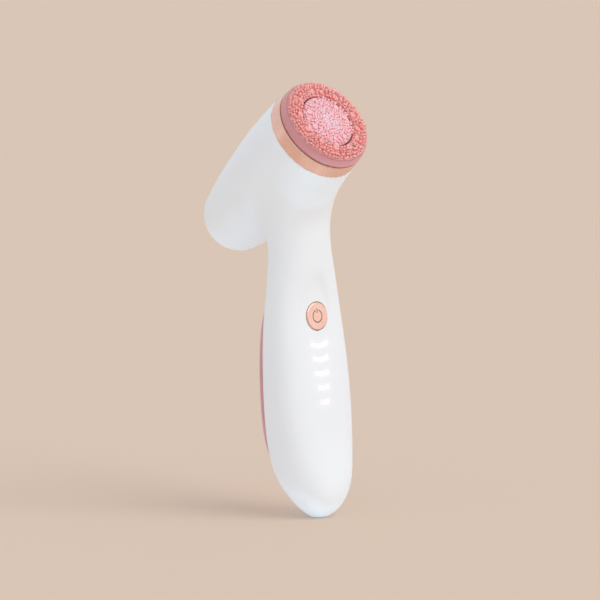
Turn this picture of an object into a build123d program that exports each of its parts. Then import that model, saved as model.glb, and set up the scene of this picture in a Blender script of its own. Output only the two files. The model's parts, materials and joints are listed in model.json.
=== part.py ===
from build123d import *
import math
import os

os.makedirs("parts", exist_ok=True)

# Sonic facial cleansing brush. Millimetres, +Z up, the button and brush face +X, and XZ is the plane of symmetry.
# The origin is the middle of the small flat at the handle's lower tip.

# ---------------------------------------------------------------- driving dimensions
WALL = 2.0                     # housing wall
FIT = 0.1                      # radial gap of a fitted, fixed piece
GLIDE = 0.05                   # radial gap of a turning or sliding piece

HEAD_TILT = 39.4               # brush axis above the horizontal, degrees
MOUTH_CENTRE = (-2.5, 0, 166.5)
MOUTH_RADIUS = 22.2
BULB_RADIUS = 15.9             # rounded rear end of the head barrel
BULB_CENTRE = 60.7             # its centre, behind the mouth

RING_RADIUS = 22.0             # rose-gold trim ring
RING_HEIGHT = 5.9
RING_BORE = 19.2
LIP_GAP = 0.4                  # from the ring's front to the brush head's lip
FACE_HEIGHT = 12.6             # tips of the nubs, ahead of the mouth
BRUSH_RADIUS = 21.3
DISC_RADIUS = 12.4
DISC_GAP = 0.7

LEDGE_DEPTH = 8.0              # ledge behind the mouth that the motor deck sits on
DECK_FRONT = -5.5
DECK_SCREW_CIRCLE = 17.9
DECK_SCREW_ANGLES = (30, 150, 270)
MOTOR_RADIUS = 12.0
MOTOR_FRONT = -8.05
MOTOR_REAR = -37.0
SHAFT_RADIUS = 2.0
BEARING_RADIUS = 4.5
HEX_RADIUS = 3.8               # drive coupler, across its corners
HUB_RADIUS = 6.9
BUSH_RADIUS = 8.0
LEAD_SPREAD = 3.0              # motor terminals, each side of the middle

FACE_TILT = 7.5                # lean of the button and window plane
FACE_ORIGIN = (-0.9, 0, 87.9)  # centre of the button on the handle's front
BUTTON_RADIUS = 6.1
BUTTON_GAP = 0.25
WINDOW_HEIGHTS = (-12.9, -19.0, -25.1, -31.2, -37.4)   # along the handle, from the button
WINDOW_WIDTHS = (11.5, 10.7, 9.8, 7.8, 6.4)
WINDOW_BAND = 2.6
WINDOW_ARC = 10.3              # radius of the windows' smile

BOARD_FRONT = -5.2             # depths behind the button plane
BOARD_REAR = -6.2
FRAME_FRONT = -6.8
FRAME_REAR = -8.0
FRAME_SCREWS = ((0, 18), (-9, -50), (9, -50))
BOARD_SCREWS = ((-9, 9), (9, 9), (-9, -42), (9, -42))
COVER_SCREWS = ((0, -18.6), (-50, -23.6))              # height, depth of the head's seat
TAP_RADIUS = 0.85              # hole that a small screw cuts its thread in
CLEAR_RADIUS = 1.0             # hole that it passes through
WIRE_RADIUS = 0.55
MOTOR_LEAD = 4.0               # how far each pair of leads runs from the middle
BATTERY_LEAD = 6.2
CHARGE_LEAD = 5.0
LEAD_HOLE_HEIGHT = 14.5
PIN_RADIUS = 0.9               # charging pins in the tip
PIN_SPREAD = 1.7
TIP_DEPTH = 10.0               # solid end of the handle

PANEL_CENTRE = 58.5            # height of the middle of the back panel
COVER_HALF = (13.0, 34.0)      # half width, half height of the rear opening
PLATE_HALF = (16.8, 39.0)      # cover plate outside the opening
PAD_HALF = (18.5, 41.0)        # soft pad over everything
PLATE_THICK = 0.8
PAD_THICK = 1.9

HEAD = Plane(
    origin=MOUTH_CENTRE,
    x_dir=(0, 1, 0),
    z_dir=(math.cos(math.radians(HEAD_TILT)), 0, math.sin(math.radians(HEAD_TILT))),
)
FACE = Plane(
    origin=FACE_ORIGIN,
    x_dir=(0, 1, 0),
    z_dir=(math.cos(math.radians(FACE_TILT)), 0, math.sin(math.radians(FACE_TILT))),
)

# Handle and neck sections: height, front x, back x, half width, and how square the front and the back are
# (2 is an ellipse). The last three lie inside the head barrel.
SECTIONS = [
    (0.0, 3.2, -3.2, 3.2, 2.0, 2.0),
    (0.7, 4.9, -4.3, 4.4, 2.0, 2.0),
    (2.0, 6.9, -5.8, 6.2, 2.05, 2.0),
    (3.7, 8.6, -7.5, 8.4, 2.1, 2.05),
    (6.4, 10.1, -9.6, 11.1, 2.2, 2.1),
    (10.0, 10.8, -11.8, 13.8, 2.35, 2.15),
    (16.0, 10.3, -14.6, 17.1, 2.55, 2.25),
    (24.0, 8.8, -17.2, 19.0, 2.85, 2.35),
    (38.0, 6.3, -18.6, 20.7, 3.1, 2.4),
    (56.0, 3.8, -19.3, 21.3, 3.2, 2.4),
    (75.0, 1.0, -19.8, 20.6, 3.2, 2.4),
    (88.0, -0.6, -20.0, 19.3, 3.1, 2.4),
    (99.0, -1.0, -20.4, 17.8, 2.8, 2.3),
    (108.0, -0.7, -21.5, 16.3, 2.5, 2.2),
    (117.0, -0.7, -23.0, 15.2, 2.2, 2.1),
    (122.0, -0.8, -24.4, 15.4, 2.1, 2.0),
    (128.0, -0.8, -26.0, 16.1, 2.0, 2.0),
    (134.0, 0.6, -28.0, 16.9, 2.0, 2.0),
    (140.0, 3.2, -30.0, 17.7, 2.0, 2.0),
    (146.0, 7.0, -31.0, 18.6, 2.0, 2.0),
    (150.0, 9.0, -31.0, 19.0, 2.0, 2.0),
]
SECTION_POINTS = 32


# ---------------------------------------------------------------- general helpers
def rounded_point(angle, half_x, half_y, square_front, square_back):
    """Point of a superellipse whose squareness goes smoothly from its -x side to its +x side."""
    cosine = math.cos(angle)
    sine = math.sin(angle)
    power = square_back + (square_front - square_back) * (1 + cosine) / 2
    reach = (abs(cosine) ** power + abs(sine) ** power) ** (-1 / power)
    return half_x * reach * cosine, half_y * reach * sine


def around(count):
    """Evenly spaced angles of one turn."""
    return [2 * math.pi * index / count for index in range(count)]


def turned(corners):
    """Solid of revolution about the local z axis, from its (radius, height) corners."""
    outline = Polyline(*[(radius, 0, height) for radius, height in corners], close=True)
    return revolve(make_face(outline), axis=Axis.Z)


def tube(inner, outer, low, high):
    return turned([(inner, low), (outer, low), (outer, high), (inner, high)])


def rod(radius, low, high):
    return tube(0, radius, low, high)


def block(low, high):
    """Box between two corners."""
    size = [high[axis] - low[axis] for axis in range(3)]
    middle = [(high[axis] + low[axis]) / 2 for axis in range(3)]
    return Pos(*middle) * Box(*size)


def lead(points, radius, bend):
    """Insulated wire along straight runs joined by arcs."""
    path = FilletPolyline(*points, radius=bend)
    return sweep(path.location_at(0) * Circle(radius), path=path)


def screw(head_radius, head_height, shank_radius, length):
    """Pan-head screw along -z, with the underside of its head at z = 0 and a cross recess."""
    recess_width = 0.5
    recess_depth = head_height * 0.5
    body = rod(head_radius, 0, head_height) + rod(shank_radius, -length, 0)
    arm = Box(head_radius * 1.2, recess_width, recess_depth * 2)
    cross = arm + Rot(0, 0, 90) * arm
    return body - Pos(0, 0, head_height) * cross


def save(name, shape):
    export_step(shape, f"parts/{name}.step")


# ---------------------------------------------------------------- outer form
def section_wire(section, inset):
    """One horizontal outline of the handle, drawn in by inset."""
    height, front, back, half_width, square_front, square_back = section
    half_depth = (front - back) / 2 - inset
    middle = (front + back) / 2
    points = []
    for angle in around(SECTION_POINTS):
        x, y = rounded_point(angle, half_depth, half_width - inset, square_front, square_back)
        points.append((middle + x, y, height))
    return Wire(Spline(*points, periodic=True))


def handle(inset=0.0, bottom=0.0, top=150.0):
    """Handle and neck as one solid, drawn in by inset on every side."""
    chosen = [section for section in SECTIONS if bottom <= section[0] <= top]
    return Part() + Solid.make_loft([section_wire(section, inset) for section in chosen])


def barrel(inset=0.0):
    """Head barrel: a slowly narrowing body of revolution that ends in a round bulb."""
    radius = BULB_RADIUS - inset
    slope = math.radians(9)
    start = (radius * math.cos(slope), 0, -BULB_CENTRE - radius * math.sin(slope))
    middle = (radius * math.sqrt(0.5), 0, -BULB_CENTRE - radius * math.sqrt(0.5))
    end = (0, 0, -BULB_CENTRE - radius)
    side = Spline(
        (MOUTH_RADIUS - inset, 0, 0),
        (22.05 - inset, 0, -17.8),
        (20.0 - inset, 0, -38.7),
        (16.85 - inset, 0, -58.3),
        start,
        tangents=[(0, 0, -1), (-math.sin(slope), 0, -math.cos(slope))],
    )
    cap = ThreePointArc(start, middle, end)
    rest = Polyline(end, (0, 0, 0), (MOUTH_RADIUS - inset, 0, 0))
    return HEAD * revolve(make_face(Curve() + [side, cap, rest]), axis=Axis.Z)


def outer_form():
    """Whole outside of the housing, with the notch behind the neck rounded."""
    blend = 4.0
    head = barrel()
    grip = handle()
    whole = head + grip
    return fillet(new_edges(head, grip, combined=whole), blend)


def panel_prism(half, shrink=0.0):
    """Upright oval column through the handle's back, for the opening, the cover and the pad."""
    squareness = 2.4
    points = []
    for angle in around(SECTION_POINTS):
        y, z = rounded_point(angle, half[0] - shrink, half[1] - shrink, squareness, squareness)
        points.append((0, y, PANEL_CENTRE + z))
    face = make_face(Spline(*points, periodic=True))
    start = -8
    reach = 30
    return Pos(start, 0, 0) * extrude(face, amount=reach, dir=(-1, 0, 0))


def back_layer(outside, inside, prism):
    """Part of the handle's skin between two insets, inside an upright column."""
    return (handle(outside) - handle(inside)) & prism


# ---------------------------------------------------------------- housing shell
def thumb_scoop():
    """Shallow arched recess above and round the button, deepest at its top."""
    low = 80.0
    high = 109.0
    half_width = 8.5
    arch_power = 0.55
    lean = 2.0
    steps = 8
    side = []
    for step in range(steps):
        share = step / steps
        side.append((half_width * (1 - share ** 2) ** arch_power, low + (high - low) * share))
    right = [(0, y, z) for y, z in side]
    left = [(0, -y, z) for y, z in reversed(side)]
    arch = Spline(*right, (0, 0, high), *left)
    sill = Line((0, -half_width, low), (0, half_width, low))
    column = extrude(make_face(Curve() + [arch, sill]), amount=12, dir=(1, 0, 0))
    hinge = Pos(0, 0, low)
    floor = hinge * Rot(0, -lean, 0) * Pos(0, 0, -low) * handle()
    return Pos(-6, 0, 0) * column - floor


def window_outline(width):
    """One smile-shaped window with softened corners, drawn about its own middle."""
    corner = 0.6
    inner = WINDOW_ARC - WINDOW_BAND / 2
    outer = WINDOW_ARC + WINDOW_BAND / 2
    half_angle = math.degrees(math.asin(width / 2 / outer))
    centre = (0, WINDOW_ARC)
    first = CenterArc(centre, outer, -90 - half_angle, 2 * half_angle)
    second = CenterArc(centre, inner, -90 - half_angle, 2 * half_angle)
    ends = [Line(first @ 0, second @ 0), Line(first @ 1, second @ 1)]
    smile = make_face(Curve() + [first, second] + ends)
    return fillet(smile.vertices(), corner)


def windows(low, high, grow=0.0):
    """The five windows as columns across the front wall."""
    columns = Part()
    for height, width in zip(WINDOW_HEIGHTS, WINDOW_WIDTHS):
        outline = window_outline(width)
        if grow:
            outline = offset(outline, grow)
        columns += Pos(0, height, low) * extrude(outline, amount=high - low)
    return FACE * columns


def main_shell():
    shell = outer_form()
    shell -= handle(WALL, bottom=10.0, top=140.0)
    shell -= barrel(WALL)

    ledge_inner = 16.2
    ledge_thick = 2.0
    ledge = tube(ledge_inner, MOUTH_RADIUS - WALL / 2, -LEDGE_DEPTH - ledge_thick, -LEDGE_DEPTH)
    shell += HEAD * ledge
    shell -= HEAD * rod(MOUTH_RADIUS - WALL, -LEDGE_DEPTH, 1)
    for angle in DECK_SCREW_ANGLES:
        shell -= HEAD * Rot(0, 0, angle) * Pos(DECK_SCREW_CIRCLE, 0, 0) * rod(TAP_RADIUS, -10.5, -7)

    shell -= thumb_scoop()
    shell -= FACE * rod(BUTTON_RADIUS + BUTTON_GAP, -8, 4)
    shell -= windows(-6, 4, grow=GLIDE)
    shell -= panel_prism(COVER_HALF)

    boss_radius = 2.4
    for x, height in FRAME_SCREWS:
        spot = FACE * Pos(x, height, 0)
        boss = spot * rod(boss_radius, FRAME_FRONT, 5)
        shell += boss & handle(WALL * 0.6)
        shell -= spot * rod(TAP_RADIUS, FRAME_FRONT - 1, FRAME_FRONT + 3.2)
    for side in (-1, 1):
        shell -= Pos(0, side * PIN_SPREAD, 0) * rod(PIN_RADIUS + GLIDE, -1, TIP_DEPTH + 1)
    return shell


# ---------------------------------------------------------------- back panel
def back_cover():
    plug = back_layer(-PLATE_THICK / 2, WALL, panel_prism(COVER_HALF, shrink=0.15))
    plate = back_layer(-PLATE_THICK, -0.05, panel_prism(PLATE_HALF))
    cover = plug + plate
    groove = panel_prism(COVER_HALF, shrink=-1) - panel_prism(COVER_HALF, shrink=1)
    cover -= back_layer(0.6, 1.4, groove)
    for height, seat in COVER_SCREWS:
        spot = FACE * Pos(0, height, 0)
        cover -= spot * rod(CLEAR_RADIUS, -30, -10)
        cover -= spot * rod(2.0, -30, seat)
    return cover


def cover_gasket():
    ring = panel_prism(COVER_HALF, shrink=0.05) - panel_prism(COVER_HALF, shrink=0.98)
    return back_layer(0.62, 1.38, ring)


def cover_screws():
    return [
        FACE * Pos(0, height, seat) * Rot(180, 0, 0) * screw(1.8, 1.2, 0.8, 7)
        for height, seat in COVER_SCREWS
    ]


def grip_pad():
    """Soft skin over the cover plate, wrapped round its edge."""
    edge_round = 0.9
    pad = back_layer(-PAD_THICK, -0.05, panel_prism(PAD_HALF))
    outer_rim = min(pad.edges(), key=lambda edge: edge.bounding_box().min.X)
    pad = fillet(outer_rim, edge_round)
    return pad - back_layer(-PLATE_THICK - 0.04, -0.01, panel_prism(PLATE_HALF, shrink=-0.04))


# ---------------------------------------------------------------- head: ring, deck and motor
def trim_ring():
    spigot = MOUTH_RADIUS - WALL - FIT
    return turned([
        (RING_BORE, -4.0), (spigot, -4.0), (spigot, 0.0), (RING_RADIUS, 0.0), (RING_RADIUS, 0.4),
        (21.5, RING_HEIGHT - 0.35), (21.2, RING_HEIGHT), (RING_BORE, RING_HEIGHT),
    ])


def motor_deck():
    plate_radius = MOUTH_RADIUS - WALL - FIT
    collar = MOTOR_RADIUS + FIT
    deck = turned([
        (3.0, -LEDGE_DEPTH), (collar, -LEDGE_DEPTH), (collar, -12.5), (14.0, -12.5), (14.0, -LEDGE_DEPTH),
        (plate_radius, -LEDGE_DEPTH), (plate_radius, DECK_FRONT), (8.0, DECK_FRONT), (8.0, -2.5),
        (5.05, -2.5), (5.05, -4.6), (3.0, -4.6),
    ])
    for angle in DECK_SCREW_ANGLES:
        deck -= Rot(0, 0, angle) * Pos(DECK_SCREW_CIRCLE, 0, 0) * rod(CLEAR_RADIUS, -9, -4)
    return deck


def deck_screws():
    return [
        Rot(0, 0, angle) * Pos(DECK_SCREW_CIRCLE, 0, DECK_FRONT) * screw(1.5, 1.0, 0.8, 4.2)
        for angle in DECK_SCREW_ANGLES
    ]


def shaft_seal():
    lip = SHAFT_RADIUS + GLIDE
    return turned([
        (lip, -3.4), (3.4, -4.5), (5.0, -4.5), (5.0, -2.6), (3.6, -2.6), (3.6, -3.8), (lip, -2.9),
    ])


def motor_can():
    skin = 0.8
    inner = MOTOR_RADIUS - skin
    seat = BEARING_RADIUS + 0.03
    return turned([
        (2.6, MOTOR_FRONT), (MOTOR_RADIUS, MOTOR_FRONT), (MOTOR_RADIUS, MOTOR_REAR), (inner, MOTOR_REAR),
        (inner, -9.5), (5.6, -9.5), (5.6, -12.5), (seat, -12.5), (seat, -9.5), (2.6, -9.5),
    ])


def motor_endcap():
    seat = BEARING_RADIUS + 0.03
    cap = turned([
        (0.0, MOTOR_REAR + 0.2), (11.15, MOTOR_REAR + 0.2), (11.15, -34.5), (5.8, -34.5), (5.8, -31.5),
        (seat, -31.5), (seat, -34.6), (2.6, -34.6), (2.6, -35.8), (0.0, -35.8),
    ])
    for side in (-1, 1):
        cap -= Pos(side * LEAD_SPREAD, -6, 0) * rod(WIRE_RADIUS + GLIDE, MOTOR_REAR - 1, -33)
    return cap


def bearing(low, high):
    """Plain sintered bearing with chamfered ends."""
    bore = SHAFT_RADIUS + 0.03
    bevel = 0.4
    return turned([
        (bore, low), (BEARING_RADIUS - bevel, low), (BEARING_RADIUS, low + bevel), (BEARING_RADIUS, high - bevel),
        (BEARING_RADIUS - bevel, high), (bore, high),
    ])


def stator_coils():
    """Two half-round coils against the motor can."""
    ring = tube(7.7, 11.15, -30.5, -13.5)
    slot = 1.6
    halves = ring - Pos(0, 0, -22) * Box(slot, 30, 40)
    return halves.solids()


def motor_boot():
    """Rubber cup that holds the motor's rear end quiet inside the barrel."""
    inner = MOTOR_RADIUS + 0.02
    boot = turned([
        (5.0, MOTOR_REAR - 2.2), (14.0, MOTOR_REAR - 2.2), (14.0, -28.0), (inner, -28.0), (inner, MOTOR_REAR - 0.05),
        (5.0, MOTOR_REAR - 0.05),
    ])
    rib_count = 6
    for index in range(rib_count):
        rib = block((13.5, -1.2, MOTOR_REAR - 1), (17.3, 1.2, -30.0))
        boot += Rot(0, 0, 360 * index / rib_count) * rib
    for side in (-1, 1):
        boot -= Pos(side * LEAD_SPREAD, -6, 0) * rod(WIRE_RADIUS + 0.3, MOTOR_REAR - 3, MOTOR_REAR + 1)
    return boot


def drive_shaft():
    return rod(SHAFT_RADIUS, -35.6, 3.4)


def rotor_magnet():
    bevel = 0.5
    bore = SHAFT_RADIUS + 0.01
    return turned([
        (bore, -30.0), (7.0 - bevel, -30.0), (7.0, -30.0 + bevel), (7.0, -14.0 - bevel), (7.0 - bevel, -14.0),
        (bore, -14.0),
    ])


def drive_coupler():
    """Hexagonal driver on the shaft's end."""
    low = -1.2
    high = 4.2
    hexagon = extrude(RegularPolygon(HEX_RADIUS, 6), amount=high - low)
    hexagon = chamfer(hexagon.faces().sort_by(Axis.Z)[-1].edges(), 0.4)
    return Pos(0, 0, low) * hexagon - rod(SHAFT_RADIUS + 0.01, low - 1, 3.45)


# ---------------------------------------------------------------- brush head
def brush_base():
    """Carrier that plugs into the trim ring: rim, web with the bushing's seat, and the lip under the silicone."""
    rim = RING_BORE - 0.15
    return turned([
        (17.6, -3.4), (rim - 0.5, -3.4), (rim, -2.9), (rim, RING_HEIGHT + LIP_GAP), (21.1, RING_HEIGHT + LIP_GAP),
        (21.1, 6.6), (13.8, 6.6), (13.8, 4.4), (BUSH_RADIUS, 4.4), (BUSH_RADIUS, 2.2), (17.6, 2.2),
    ])


def disc_bushing():
    outer = BUSH_RADIUS - 0.02
    return turned([
        (HUB_RADIUS + GLIDE, 1.9), (outer, 1.9), (outer, 4.4), (9.2, 4.4), (9.2, 4.9), (HUB_RADIUS + GLIDE, 4.9),
    ])


def disc_hub():
    """Hub of the centre disc, with the hexagonal socket and the groove of its clip."""
    hub = turned([
        (0, 0.2), (HUB_RADIUS, 0.2), (HUB_RADIUS, 0.9), (6.2, 0.9), (6.2, 1.7), (HUB_RADIUS, 1.7),
        (HUB_RADIUS, 5.2), (12.0, 5.2), (12.0, 6.8), (0, 6.8),
    ])
    socket = extrude(RegularPolygon(HEX_RADIUS + 0.15, 6), amount=4.4)
    return hub - Pos(0, 0, 0.1) * socket


def retaining_clip():
    ring = tube(6.25, 8.6, 0.95, 1.65)
    opening = block((5.0, -2.5, 0), (9.5, 2.5, 3))
    return ring - opening


def outer_brush():
    """Soft ring round the disc, up to the tips of its nubs."""
    inner = DISC_RADIUS + DISC_GAP
    return turned([
        (inner, 6.65), (20.6, 6.65), (20.6, 6.85), (BRUSH_RADIUS, 7.0), (BRUSH_RADIUS, 9.0), (20.9, 10.3),
        (19.9, 11.0), (19.5, 11.1), (19.5, FACE_HEIGHT), (inner, FACE_HEIGHT),
    ])


def centre_brush():
    return turned([
        (0, 6.85), (DISC_RADIUS, 6.85), (DISC_RADIUS, 10.6), (12.0, 11.0), (12.0, FACE_HEIGHT), (0, FACE_HEIGHT),
    ])


# ---------------------------------------------------------------- button, board and battery
def button_cap():
    """Round, nearly flush cap with a plain power symbol sunk into it."""
    top = 0.5
    line_depth = 0.15
    cap = turned([
        (0, -1.1), (BUTTON_RADIUS, -1.1), (BUTTON_RADIUS, top - 0.45), (5.95, top - 0.12), (5.65, top), (0, top),
    ])
    ring = tube(2.45, 2.85, top - line_depth, top + 1) - block((-0.9, 0, 0), (0.9, 4, 4))
    bar = block((-0.2, 1.3, top - line_depth), (0.2, 3.4, top + 1))
    return cap - ring - bar


def button_plunger():
    return turned([
        (0, -3.4), (1.5, -3.4), (1.5, -2.9), (7.2, -2.9), (7.2, -2.4), (5.0, -2.4), (5.0, -1.1), (0, -1.1),
    ])


def button_boot():
    return turned([
        (1.7, -4.1), (6.8, -4.1), (6.8, BOARD_FRONT), (7.6, BOARD_FRONT), (7.6, -3.5), (1.7, -3.5),
    ])


def tact_switch():
    body = block((-2.2, -2.2, BOARD_FRONT), (2.2, 2.2, -4.3))
    return body + rod(1.2, -4.4, -3.95)


def light_guide():
    """Clear plate behind the front wall with the five windows standing through it."""
    plate = block((-6.9, -41.5, -3.0), (6.9, -9.3, -2.05))
    lenses = windows(-2.2, 4) & handle(0.02)
    return FACE * plate + lenses


def indicator_leds():
    leds = []
    for height, width in zip(WINDOW_HEIGHTS, WINDOW_WIDTHS):
        for side in (-1, 1):
            x = side * width / 4
            leds.append(block((x - 0.8, height - 0.4, BOARD_FRONT), (x + 0.8, height + 0.4, BOARD_FRONT + 0.6)))
    return leds


def circuit_board():
    board = block((-11, -44, BOARD_REAR), (11, 12, BOARD_FRONT))
    for x, y in BOARD_SCREWS:
        board -= Pos(x, y, 0) * rod(CLEAR_RADIUS, -8, -4)
    return board


def controller_chip():
    return block((-10.2, -30.0, BOARD_FRONT), (-7.2, -25.0, BOARD_FRONT + 0.9))


def board_screws():
    return [Pos(x, y, BOARD_FRONT) * screw(1.6, 0.9, 0.8, 2.7) for x, y in BOARD_SCREWS]


def inner_frame():
    """Tray between the board and the cell, with side rails and the two posts of the cover screws."""
    frame = block((-14.4, -54, FRAME_REAR), (14.4, -2, FRAME_FRONT))
    frame += block((-11, -2.5, FRAME_REAR), (11, 22, FRAME_FRONT))
    for side in (-1, 1):
        near = min(side * 12.9, side * 14.4)
        frame += block((near, -47, -13), (near + 1.5, -3, FRAME_REAR))
        frame -= Pos(side * BATTERY_LEAD, LEAD_HOLE_HEIGHT, 0) * rod(WIRE_RADIUS + 0.3, -9, -6)
    for x, y in BOARD_SCREWS:
        frame += Pos(x, y, 0) * rod(1.9, FRAME_FRONT, BOARD_REAR)
        frame -= Pos(x, y, 0) * rod(TAP_RADIUS, FRAME_REAR - 0.5, BOARD_REAR + 0.5)
    for x, height in FRAME_SCREWS:
        frame -= Pos(x, height, 0) * rod(CLEAR_RADIUS, -9, -6)
    frame = FACE * frame
    for height, seat in COVER_SCREWS:
        spot = FACE * Pos(0, height, 0)
        frame += spot * rod(2.4, -30, FRAME_REAR) & handle(WALL + 0.1)
        frame -= spot * rod(TAP_RADIUS, -30, seat + 7.5)
    return frame


def frame_screws():
    return [
        Pos(x, height, FRAME_REAR) * Rot(180, 0, 0) * screw(1.6, 0.9, 0.8, 3.8)
        for x, height in FRAME_SCREWS
    ]


def battery_cell():
    """Flat lithium-polymer cell with softly rounded long edges."""
    cell = block((-12.4, -46, -15.2), (12.4, -4, -8.05))
    return fillet(cell.edges().filter_by(Axis.Y), 1.5)


# ---------------------------------------------------------------- contacts and leads
def charge_pins():
    return [
        Pos(0, side * PIN_SPREAD, 0) * rod(PIN_RADIUS, 0, TIP_DEPTH + 3)
        for side in (-1, 1)
    ]


def contact_seal():
    seal = rod(5, TIP_DEPTH + 0.02, TIP_DEPTH + 1.5)
    for side in (-1, 1):
        seal -= Pos(0, side * PIN_SPREAD, 0) * rod(PIN_RADIUS + 0.01, TIP_DEPTH - 1, TIP_DEPTH + 3)
    return seal


def motor_leads():
    bend = 3.0
    leads = []
    for side in (-1, 1):
        y = side * MOTOR_LEAD
        start = HEAD.from_local_coords(Vector(side * LEAD_SPREAD, -6, MOTOR_REAR + 2))
        turn = HEAD.from_local_coords(Vector(side * LEAD_SPREAD, -6, MOTOR_REAR - 6))
        above = FACE.from_local_coords(Vector(y, 14, BOARD_FRONT + 0.65))
        finish = FACE.from_local_coords(Vector(y, 8.6, BOARD_FRONT + 0.65))
        leads.append(lead([start, turn, (-15, y, 123), (-9, y, 113), above, finish], WIRE_RADIUS, bend))
    return leads


def battery_leads():
    bend = 1.4
    leads = []
    for side in (-1, 1):
        x = side * BATTERY_LEAD
        corners = [(x, -4, -11), (x, LEAD_HOLE_HEIGHT, -11), (x, LEAD_HOLE_HEIGHT, -4.55), (x, 9.5, -4.55)]
        leads.append(FACE * lead(corners, WIRE_RADIUS, bend))
    return leads


def charge_leads():
    bend = 4.0
    leads = []
    for side in (-1, 1):
        y = side * CHARGE_LEAD
        below = FACE.from_local_coords(Vector(y, -49, BOARD_FRONT + 0.65))
        finish = FACE.from_local_coords(Vector(y, -41, BOARD_FRONT + 0.65))
        start = (0, side * PIN_SPREAD, TIP_DEPTH + 3)
        up = (0, side * PIN_SPREAD, TIP_DEPTH + 8)
        leads.append(lead([start, up, below, finish], WIRE_RADIUS, bend))
    return leads


# ---------------------------------------------------------------- every piece, in its own file
def placed(plane, shapes):
    """Shapes drawn on a plane, moved to it and kept as separate solids of one piece."""
    group = shapes if isinstance(shapes, list) else [shapes]
    moved = [plane * shape for shape in group] if plane else group
    solids = [solid for shape in moved for solid in shape.solids()]
    return solids[0] if len(solids) == 1 else Compound(children=solids)


HOUSING_FRAME = [
    ("main_shell", None, main_shell),
    ("back_cover", None, back_cover),
    ("cover_gasket", None, cover_gasket),
    ("cover_screws", None, cover_screws),
    ("grip_pad", None, grip_pad),
    ("inner_frame", None, inner_frame),
    ("charge_pins", None, charge_pins),
    ("contact_seal", None, contact_seal),
    ("motor_leads", None, motor_leads),
    ("battery_leads", None, battery_leads),
    ("charge_leads", None, charge_leads),
    ("light_guide", None, light_guide),
]
ON_FACE = [
    ("frame_screws", FACE, frame_screws),
    ("battery_cell", FACE, battery_cell),
    ("circuit_board", FACE, circuit_board),
    ("board_screws", FACE, board_screws),
    ("controller_chip", FACE, controller_chip),
    ("indicator_leds", FACE, indicator_leds),
    ("tact_switch", FACE, tact_switch),
    ("button_boot", FACE, button_boot),
    ("button_cap", FACE, button_cap),
    ("button_plunger", FACE, button_plunger),
]
ON_HEAD = [
    ("trim_ring", HEAD, trim_ring),
    ("motor_deck", HEAD, motor_deck),
    ("deck_screws", HEAD, deck_screws),
    ("shaft_seal", HEAD, shaft_seal),
    ("motor_can", HEAD, motor_can),
    ("motor_endcap", HEAD, motor_endcap),
    ("stator_coils", HEAD, stator_coils),
    ("front_bearing", HEAD, lambda: bearing(-12.4, -9.6)),
    ("rear_bearing", HEAD, lambda: bearing(-34.5, -31.6)),
    ("motor_boot", HEAD, motor_boot),
    ("drive_shaft", HEAD, drive_shaft),
    ("rotor_magnet", HEAD, rotor_magnet),
    ("drive_coupler", HEAD, drive_coupler),
    ("brush_base", HEAD, brush_base),
    ("disc_bushing", HEAD, disc_bushing),
    ("outer_brush", HEAD, outer_brush),
    ("disc_hub", HEAD, disc_hub),
    ("retaining_clip", HEAD, retaining_clip),
    ("centre_brush", HEAD, centre_brush),
]

for name, plane, make in HOUSING_FRAME + ON_FACE + ON_HEAD:
    save(name, placed(plane, make()))
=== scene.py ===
import json
import math
import random

import bmesh
import bpy
import numpy as np
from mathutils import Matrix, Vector


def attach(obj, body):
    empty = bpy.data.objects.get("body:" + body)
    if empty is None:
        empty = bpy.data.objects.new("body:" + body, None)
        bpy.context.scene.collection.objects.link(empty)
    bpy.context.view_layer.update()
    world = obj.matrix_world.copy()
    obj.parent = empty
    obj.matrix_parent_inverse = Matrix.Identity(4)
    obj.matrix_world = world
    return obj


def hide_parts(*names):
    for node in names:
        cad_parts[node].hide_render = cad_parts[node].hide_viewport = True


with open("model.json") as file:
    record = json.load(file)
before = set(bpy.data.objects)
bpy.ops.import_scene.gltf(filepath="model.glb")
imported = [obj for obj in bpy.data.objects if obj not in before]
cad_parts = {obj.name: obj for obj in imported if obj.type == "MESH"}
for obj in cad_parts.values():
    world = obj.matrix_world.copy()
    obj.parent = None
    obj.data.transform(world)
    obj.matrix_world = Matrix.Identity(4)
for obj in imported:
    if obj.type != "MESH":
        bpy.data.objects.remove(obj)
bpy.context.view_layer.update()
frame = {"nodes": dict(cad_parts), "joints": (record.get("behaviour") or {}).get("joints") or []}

# Facial cleansing brush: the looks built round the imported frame. Shape code works in millimetres and MM turns
# its results into metres. The handle runs up +Z, the button and the brush face +X, and XZ is the plane of
# symmetry.
MM = 0.001
joints = {joint["name"]: joint for joint in frame["joints"]}

# ---------------------------------------------------------------- head and button frames
AXIS = np.array(joints["drive_oscillation"]["axis"])
AXIS = AXIS / np.linalg.norm(AXIS)
SIDE = np.array([0.0, 1.0, 0.0])
HEAD_UP = np.cross(AXIS, SIDE)
MOUTH = np.array(joints["drive_oscillation"]["pos_m"]) / MM

FACE_OUT = -np.array(joints["button_press"]["axis"])
FACE_OUT = FACE_OUT / np.linalg.norm(FACE_OUT)
FACE_UP = np.cross(FACE_OUT, SIDE)
FACE_ORIGIN = np.array([-0.9, 0.0, 87.9])

# ---------------------------------------------------------------- driving dimensions, mm
WALL = 2.0
MOUTH_RADIUS = 22.2
BULB_RADIUS = 15.9
BULB_CENTRE = 60.7
BULB_SLOPE = math.radians(9)
BARREL_SIDE = ((0.0, 22.2), (17.8, 22.05), (38.7, 20.0), (58.3, 16.85))

BRUSH_RADIUS = 21.3
DISC_RADIUS = 12.4
DISC_GAP = 0.7
SKIN_TOP = 11.0                # silicone between the nubs, ahead of the mouth

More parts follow.
